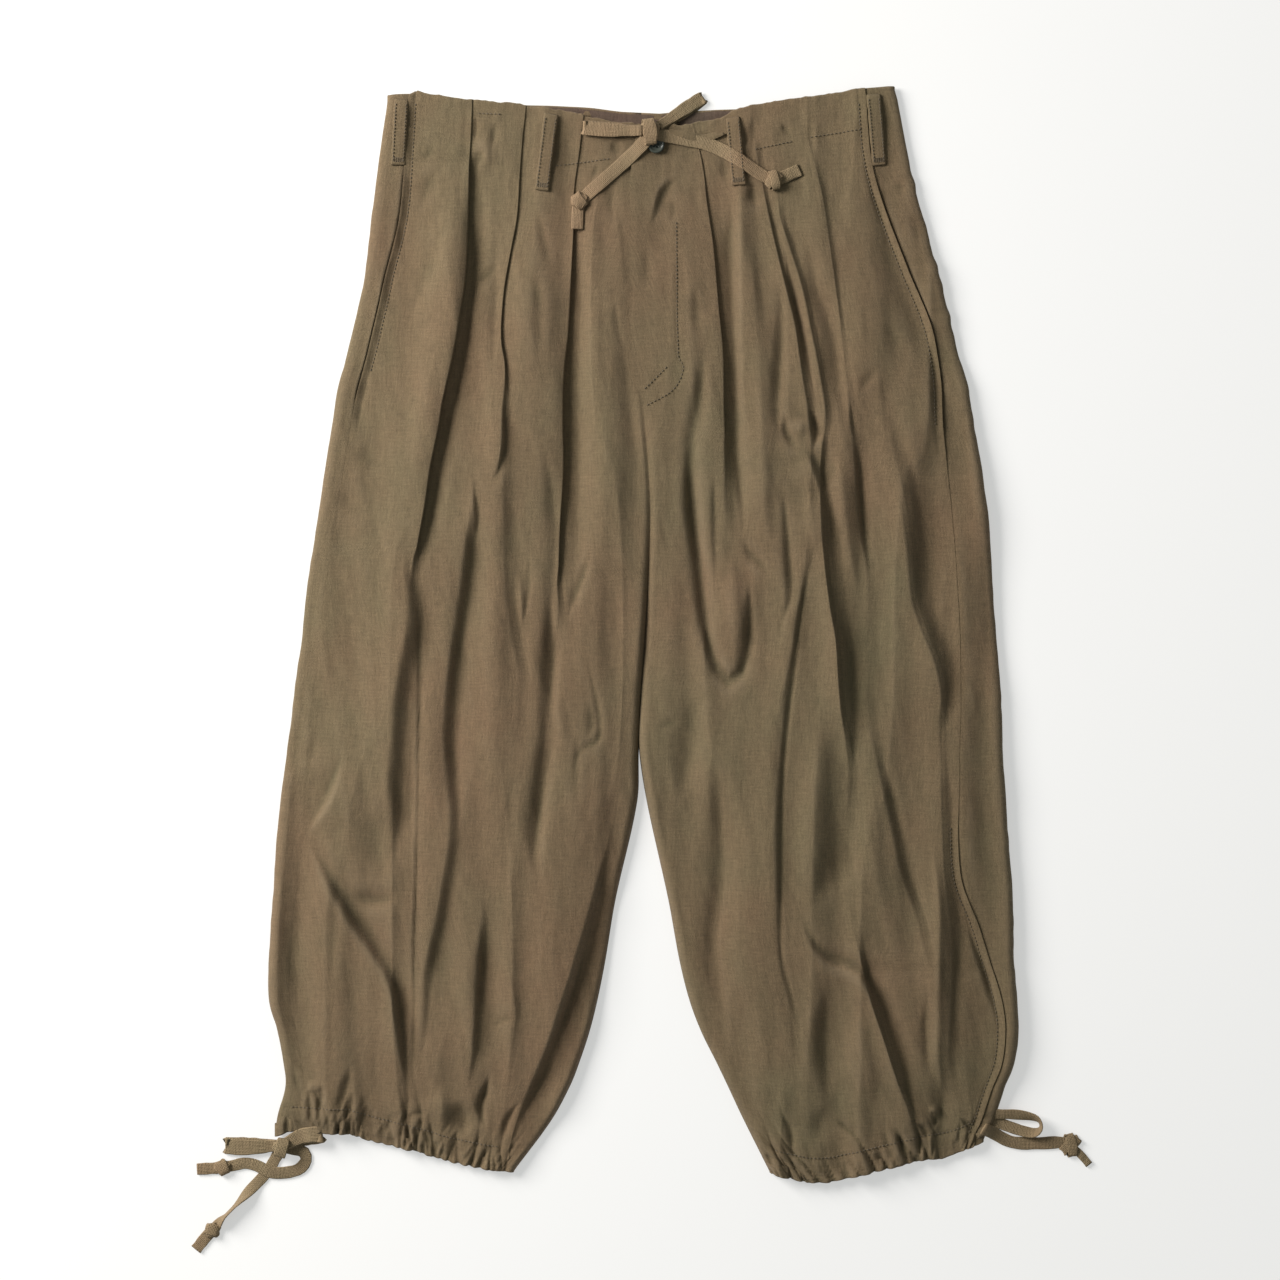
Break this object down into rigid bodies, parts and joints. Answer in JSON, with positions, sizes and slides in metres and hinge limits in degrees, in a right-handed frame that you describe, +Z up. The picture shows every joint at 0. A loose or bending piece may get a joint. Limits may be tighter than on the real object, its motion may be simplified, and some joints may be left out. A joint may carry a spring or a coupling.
{
  "type": "balloon pants",
  "caption": "Cropped balloon trousers with a pleated front, drawstring waist, belt loops and hems gathered on drawstrings, laid flat.",
  "frame": {"origin": "on the surface it lies on, under the middle of the garment's box without its drawstrings", "axes": "+X towards the wearer's left, +Y from the hems to the waist, +Z up from the surface; the front faces up"},
  "size_m": [0.7039, 0.9095, 0.0195],
  "materials": {
    "trouser_cloth": "plain slubby weave with a slight sheen",
    "facing_cloth": "matt plain weave",
    "drawstring_tape": "folded and stitched tape of the same cloth",
    "button": "polished, dark green-grey"
  },
  "bodies": {
    "root": {"front_right": "trouser_cloth", "back_right": "trouser_cloth", "hem_casing_front_right": "trouser_cloth", "hem_casing_back_right": "trouser_cloth", "front_left": "trouser_cloth", "back_left": "trouser_cloth", "hem_casing_front_left": "trouser_cloth", "hem_casing_back_left": "trouser_cloth", "waist_facing_back": "facing_cloth", "pocket_facing_right": "facing_cloth", "pocket_facing_left": "facing_cloth", "belt_loop_side_right": "trouser_cloth", "belt_loop_front_right": "trouser_cloth", "belt_loop_front_left": "trouser_cloth", "belt_loop_side_left": "trouser_cloth", "waist_button": "button", "waist_bow_knot": "drawstring_tape", "waist_bow_loop_right": "drawstring_tape", "waist_bow_loop_left": "drawstring_tape", "waist_tie_end_right": "drawstring_tape", "waist_tie_end_left": "drawstring_tape", "waist_end_knot_right": "drawstring_tape", "waist_tail_right": "drawstring_tape", "waist_end_knot_left": "drawstring_tape", "waist_tail_left": "drawstring_tape", "hem_right_knot": "drawstring_tape", "hem_right_loop_outer": "drawstring_tape", "hem_right_loop_inner": "drawstring_tape", "hem_right_end_lower": "drawstring_tape", "hem_right_end_upper": "drawstring_tape", "hem_right_end_knot_upper": "drawstring_tape", "hem_right_tail_upper": "drawstring_tape", "hem_right_end_knot_lower": "drawstring_tape", "hem_right_tail_lower": "drawstring_tape", "hem_left_loop": "drawstring_tape", "hem_left_end": "drawstring_tape", "hem_left_end_knot": "drawstring_tape", "hem_left_tail": "drawstring_tape"}
  },
  "joints": []
}
